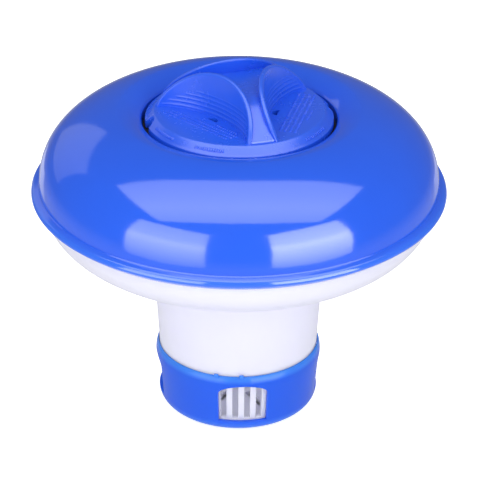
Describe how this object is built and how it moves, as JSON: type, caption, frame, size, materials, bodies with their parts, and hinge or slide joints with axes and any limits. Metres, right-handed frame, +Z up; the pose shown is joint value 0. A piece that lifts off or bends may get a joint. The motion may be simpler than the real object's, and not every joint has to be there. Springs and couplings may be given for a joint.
{
  "type": "floating chlorine dispenser",
  "caption": "Floating pool tablet dispenser: blue domed float with three-scoop twist lid, white hull and slotted canister, blue turning flow collar.",
  "frame": {"origin": "on the dispenser's axis, in the plane of the canister's foot that it stands on", "axes": "+Z up along the axis, from the canister's foot to the lid; -Y towards the viewer, through the middle of the front window within 3 degrees"},
  "size_m": [0.127, 0.127, 0.1131],
  "materials": {
    "blue_shell": "glossy moulded polypropylene",
    "white_hull": "smooth, slightly translucent moulded polypropylene",
    "white_canister": "smooth, slightly translucent moulded polypropylene",
    "blue_collar": "satin moulded polypropylene",
    "soft_seal": "matt black elastomer",
    "blue_lid": "satin moulded polypropylene"
  },
  "bodies": {
    "float_body": {"top_shell": "blue_shell", "bottom_shell": "white_hull", "tablet_canister": "white_canister"},
    "collar": {"flow_collar": "blue_collar"},
    "lid_seal": {"lid_seal_ring": "soft_seal"},
    "lid": {"twist_lid": "blue_lid"}
  },
  "joints": [
    {"name": "flow_collar_turn", "type": "hinge", "parent": "float_body", "child": "collar", "pos_m": [0, 0, 0.009], "axis": [0, 0, 1], "continuous": true},
    {"name": "lid_lift", "type": "slide", "parent": "float_body", "child": "lid_seal", "axis": [0, 0, 1], "range_m": [0, 0.07]},
    {"name": "lid_turn", "type": "hinge", "parent": "lid_seal", "child": "lid", "pos_m": [0, 0, 0.095], "axis": [0, 0, 1], "range_deg": [-60, 0]}
  ]
}
